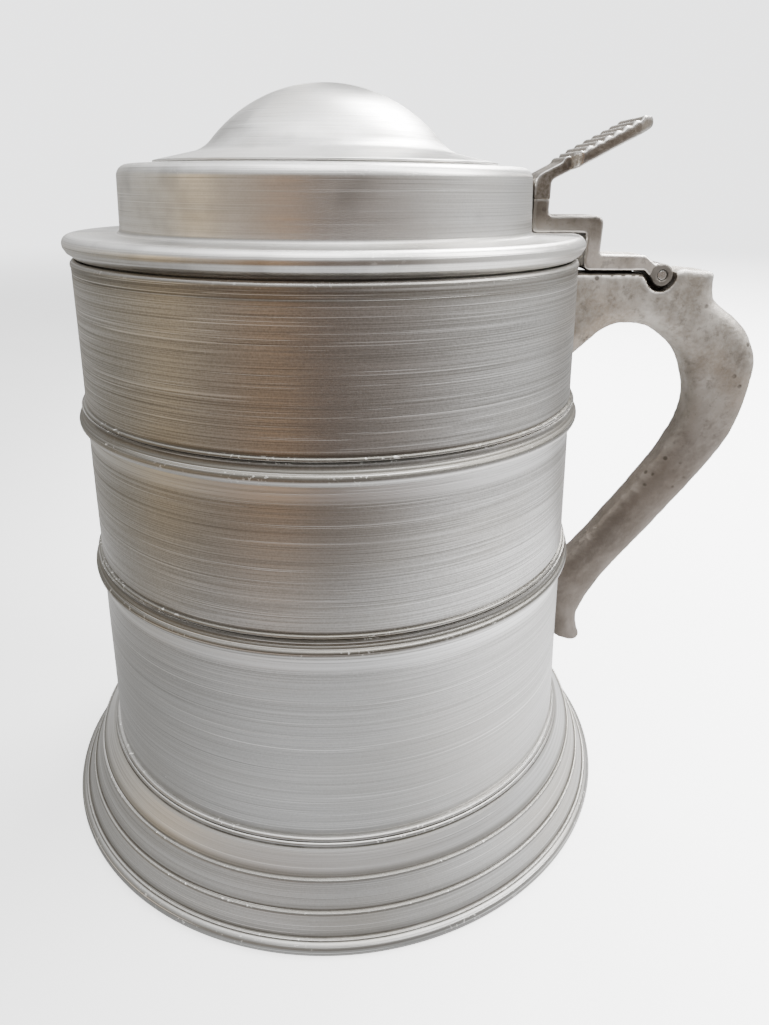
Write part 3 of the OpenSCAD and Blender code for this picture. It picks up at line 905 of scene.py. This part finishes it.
def make_handle():
    """One casting: seat and lug of the hinge, shoulder, bow and flared tail."""
    top = rounded([(78, 193.05, 0), (104.6, 193.05, 1.5), (108, 189.6, 0), (114, 189, 0), (116, 193.2, 0.8),
                   (119, 194.4, 0.8), (129, 193.6, 0.8), (131.6, 190.8, 1)])
    outer = curve([(131.2, 187.8), (132.2, 184.6), (136.2, 181.2), (142.8, 176.8), (149.2, 169), (152, 158),
                   (147, 133), (127, 103), (107, 76), (99.5, 61), (99, 54), (101.5, 47)])
    tail = [(97, 44.8), (92, 46.2), (89.6, 48.5), (88.4, 56), (85, 62)]
    inner = curve([(84, 75), (93, 86.5), (104, 100.5), (124, 129.5), (130, 148), (124, 165), (113, 174),
                   (103, 176), (94, 173.5), (78, 159)])
    outline = []
    for x, z in top + outer + tail + inner:
        x = max(x, wall_r(z) - 1.4)
        if not outline or math.dist((x, z), outline[-1]) > 0.15:
            outline.append((x, z))

    low_z, low_w, rise, high_w = 44, 12.5, 106, 16

    def half_width(z):
        t = max(0.0, min(1.0, (z - low_z) / rise))
        return (low_w + (high_w - low_w) * t) / 2

    handle = plate("handle_casting", outline, half_width)
    remesh(handle, 0.6)
    round_section(handle, [(top + outer[:1], (1.5, 0.86), (1.5, 0.86)),
                           (outer, (7.0, 0.40), (6.0, 0.40)), (tail + inner, (8.5, 0.38), (8.0, 0.34))])
    remesh(handle, 0.6)
    modify(handle, "SMOOTH", factor=0.5, iterations=14)
    lug = LUG_W / 2
    join(handle, rod("lug", PIN_X, PIN_Z, KNUCKLE_R, -lug, lug),
         block("lug_root", (PIN_X - 3.5, -lug, 186), (PIN_X + 4.5, lug, PIN_Z)))
    remesh(handle, 0.5)
    seat_x, seat_r = PIN_X - 0.5, 5.2
    for y0, y1 in ((-20, -lug), (lug, 20)):
        boolean(handle, rod("seat", seat_x, PIN_Z, seat_r, y0, y1))
    boolean(handle, rod("bore", PIN_X, PIN_Z, PIN_R + 0.05, -20, 20))
    cast(handle, 0.5, 3, rough=0.22, scale=9, seed=5)

    def limit(x, z, up):
        # painted shade on the handle's top under the strap and in the seat round the knuckle; lower down
        # the crest is capped, so the edges wear less bright
        under_strap = (up > 0.5) & (z > 186) & (x < PIN_X + 3)
        seat = np.hypot(x - seat_x, z - PIN_Z) < seat_r + 0.4
        return np.where(under_strap | seat, -0.34, np.where(z < 184, 0.10, AS_IT_IS))

    return limit_grime_and_shade(handle, limit)


finish_piece(make_handle(), CAST, "cast_pewter", "vessel", "handle")

# ---------------------------------------------------------------- stage, light and camera

BACKDROP = (2.9, 2.92, 2.95)                # what the camera sees past the floor
CEILING = (2.3, 2.32, 2.35)
UPPER_WALL = (0.72, 0.715, 0.71)
# colours of the room and of the table, far off and close to the tankard, as the metal mirrors them
ROOM = {"front": (0.25, 0.200, 0.170), "left": (0.72, 0.685, 0.61), "right": (1.05, 1.05, 1.05),
        "behind": (0.55, 0.545, 0.53)}
FAR_TABLE = {"front": (0.25, 0.205, 0.176), "left": (0.33, 0.318, 0.285), "right": (1.05, 1.05, 1.05),
             "behind": (0.55, 0.545, 0.53)}
TABLE = {"front": (1.00, 1.015, 1.04), "left": (0.53, 0.53, 0.525), "right": (2.75, 2.75, 2.78),
         "behind": (1.2, 1.2, 1.2)}
# two soft warm strips and a darker one in the dim side of the room: azimuth, half width, tint
STRIPS = ((-1.24, 0.26, (1.90, 1.42, 0.80)), (-0.40, 0.27, (2.25, 1.48, 0.64)),
          (-0.02, 0.30, (0.20, 0.19, 0.25)))
BLACK = (0, 0, 0)


def disc(name, radius, z=0.0):
    bm = bmesh.new()
    bmesh.ops.create_circle(bm, cap_ends=True, segments=96, radius=radius,
                            matrix=Matrix.Translation((0, 0, z)))
    return new_object(name, bm)


def azimuth_of(g, x, y):
    """Angle round the tankard in radians: 0 in front, + towards +X."""
    return g.num("ARCTAN2", x, g.num("MULTIPLY", y, -1.0))


def round_colour(g, around, colours, narrow, wide):
    """The front's colour, passing into left and right between the two angles, and behind."""
    side = g.num("ABSOLUTE", around)
    colour = g.mix(g.span(around, -0.2, 0.2), colours["left"], colours["right"])
    colour = g.mix(g.span(side, narrow, wide), colours["front"], colour)
    return g.mix(g.span(side, 1.6, 2.4), colour, colours["behind"])


def with_strips(g, around, colour):
    for centre, half, tint in STRIPS:
        away = g.num("ABSOLUTE", g.num("SUBTRACT", around, centre))
        colour = g.mix(g.span(away, 0.0, half, 1.0, 0.0), colour, g.mix(1.0, colour, tint, "MULTIPLY"))
    return colour


def floor_material():
    """Plain and pale, glowing more towards the right and fading into the backdrop."""
    g = Graph(bpy.data.materials.new("floor_white"))
    place = g.place()
    x, y, _ = g.split(place)
    white = g.mix(g.noise(place, 9, 3, 0.5), (0.68, 0.68, 0.677), (0.72, 0.72, 0.717))
    far = g.span(g.length(x, y), 0.6, 3.2)
    glow = g.mix(g.span(x, -0.35, 0.32), (0.09, 0.09, 0.09), (4.6, 4.6, 4.6))
    shader = g.add("ShaderNodeBsdfPrincipled", {
        "Base Color": g.mix(far, white, BLACK), "Roughness": 0.75, "Specular IOR Level": 0.0,
        "Emission Color": g.mix(far, glow, BACKDROP), "Emission Strength": 1.0})
    g.add("ShaderNodeOutputMaterial", {"Surface": shader.outputs[0]})
    return g.owner


def sheet_material():
    """The table top as the metal mirrors it; its bright part reaches further on the right."""
    g = Graph(bpy.data.materials.new("mirrored_floor"))
    x, y, _ = g.split(g.place())
    around = azimuth_of(g, x, y)
    distance = g.num("DIVIDE", g.length(x, y), g.span(around, 0.0, 1.0, 1.0, 1.5))
    near = round_colour(g, around, TABLE, 0.1, 1.3)
    far = with_strips(g, around, round_colour(g, around, FAR_TABLE, 0.45, 1.35))
    colour = g.mix(g.span(distance, 0.20, 0.425), near, far)
    glow = g.add("ShaderNodeEmission", {"Color": colour, "Strength": 1.0})
    g.add("ShaderNodeOutputMaterial", {"Surface": glow.outputs[0]})
    return g.owner


def make_world():
    """The room that the metal mirrors; the camera itself sees only the plain backdrop."""
    g = Graph(bpy.data.worlds.new("studio"))
    x, y, z = g.split(g.place("Generated"))
    around = azimuth_of(g, x, y)
    up = g.num("ARCSINE", z)
    colour = with_strips(g, around, round_colour(g, around, ROOM, 0.45, 1.35))
    colour = g.mix(g.span(up, 0.16, 0.42), colour, UPPER_WALL)
    colour = g.mix(g.span(up, 0.48, 1.05), colour, CEILING)
    path = g.add("ShaderNodeLightPath")
    seen = g.mix(path.outputs["Is Camera Ray"], colour, BACKDROP)
    sky = g.add("ShaderNodeBackground", {"Color": seen, "Strength": 1.0})
    g.add("ShaderNodeOutputWorld", {"Surface": sky.outputs[0]})
    return g.owner


floor = disc("floor", 9.0)
floor.data.materials.append(floor_material())

bpy.context.scene.world = make_world()

# a thin sheet just over the floor, which only reflections see
sheet = disc("mirrored_floor", 8.9, 1.5 * MM)
sheet.data.materials.append(sheet_material())
for ray in ("camera", "diffuse", "shadow", "transmission", "volume_scatter"):
    setattr(sheet, "visible_" + ray, False)


def area_light(name, azimuth, elevation, distance, size, power):
    """Square light aimed at the tankard. Azimuth 0 is in front, 90 on the handle's side."""
    a, e = math.radians(azimuth), math.radians(elevation)
    aim = Vector((math.sin(a) * math.cos(e), -math.cos(a) * math.cos(e), math.sin(e)))
    lamp = bpy.data.lights.new(name, "AREA")
    lamp.size, lamp.energy = size, power
    obj = bpy.data.objects.new(name, lamp)
    obj.location = Vector((0, 0, 0.12)) + aim * distance
    obj.rotation_euler = aim.to_track_quat("Z", "Y").to_euler()
    obj.visible_camera = False
    bpy.context.scene.collection.objects.link(obj)


area_light("key", azimuth=143, elevation=50, distance=1.3, size=0.55, power=34)
area_light("fill_above", azimuth=20, elevation=78, distance=1.5, size=1.1, power=16)
area_light("side", azimuth=80, elevation=42, distance=1.5, size=0.8, power=26)


def make_camera():
    """Looks down on the tankard from in front, a little turned and tilted."""
    yaw, pitch, roll = math.radians(4.19), math.radians(24.03), math.radians(0.46)
    forward = Vector((math.sin(yaw) * math.cos(pitch), math.cos(yaw) * math.cos(pitch), -math.sin(pitch)))
    right = Vector((math.cos(yaw), -math.sin(yaw), 0))
    upward = right.cross(forward)
    cam_x = math.cos(roll) * right + math.sin(roll) * upward
    cam_y = -math.sin(roll) * right + math.cos(roll) * upward
    lens = bpy.data.cameras.new("camera")
    lens.sensor_fit = "VERTICAL"
    lens.sensor_height = 36
    lens.lens = 25.68
    lens.clip_start = 0.01
    camera = bpy.data.objects.new("camera", lens)
    turn = Matrix((cam_x, cam_y, -forward)).transposed().to_4x4()
    camera.matrix_world = Matrix.Translation((0, -0.2573, 0.2190)) @ turn
    bpy.context.scene.collection.objects.link(camera)
    return camera


bpy.context.scene.camera = make_camera()

bpy.context.view_layer.update()
